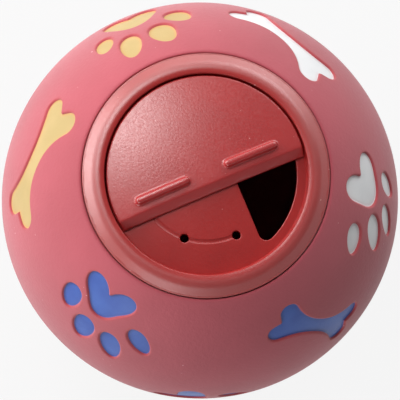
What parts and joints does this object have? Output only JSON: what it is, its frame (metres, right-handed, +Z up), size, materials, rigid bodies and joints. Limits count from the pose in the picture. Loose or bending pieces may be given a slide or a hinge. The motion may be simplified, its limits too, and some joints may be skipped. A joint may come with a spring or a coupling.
{
  "type": "treat dispensing ball",
  "caption": "Hollow soft vinyl ball with sunk painted paw prints and bones, and a snapped-in cap whose D-shaped gate turns to open a port for treats.",
  "frame": {"origin": "middle of the small flat at the bottom, which the ball stands on", "axes": "+Z up through the middle of the cap; +X from the gate's pivot into the middle of the port; the gate is at two eighths, with its straight edge towards -Y"},
  "size_m": [0.11, 0.11, 0.1042],
  "materials": {
    "ball_vinyl": "soft semi-matte vinyl, pinkish red",
    "yellow_paint": "satin vinyl paint",
    "white_paint": "satin vinyl paint",
    "blue_paint": "satin vinyl paint",
    "cap_plastic": "satin moulded plastic, red",
    "gate_plastic": "satin moulded plastic, red",
    "plated_steel": "zinc plated"
  },
  "bodies": {
    "ball": {"ball_shell": "ball_vinyl", "yellow_paw_paint": "yellow_paint", "yellow_bone_paint": "yellow_paint", "white_paw_paint": "white_paint", "white_bone_paint": "white_paint", "blue_paw_paint": "blue_paint", "blue_bone_paint": "blue_paint", "cap_body": "cap_plastic"},
    "gate": {"gate": "gate_plastic", "pivot_washer": "plated_steel", "pivot_screw": "plated_steel"}
  },
  "joints": [
    {"name": "gate_turn", "type": "hinge", "parent": "ball", "child": "gate", "pos_m": [0, 0, 0.0965], "axis": [0, 0, 1], "range_deg": [-90, 90]}
  ]
}
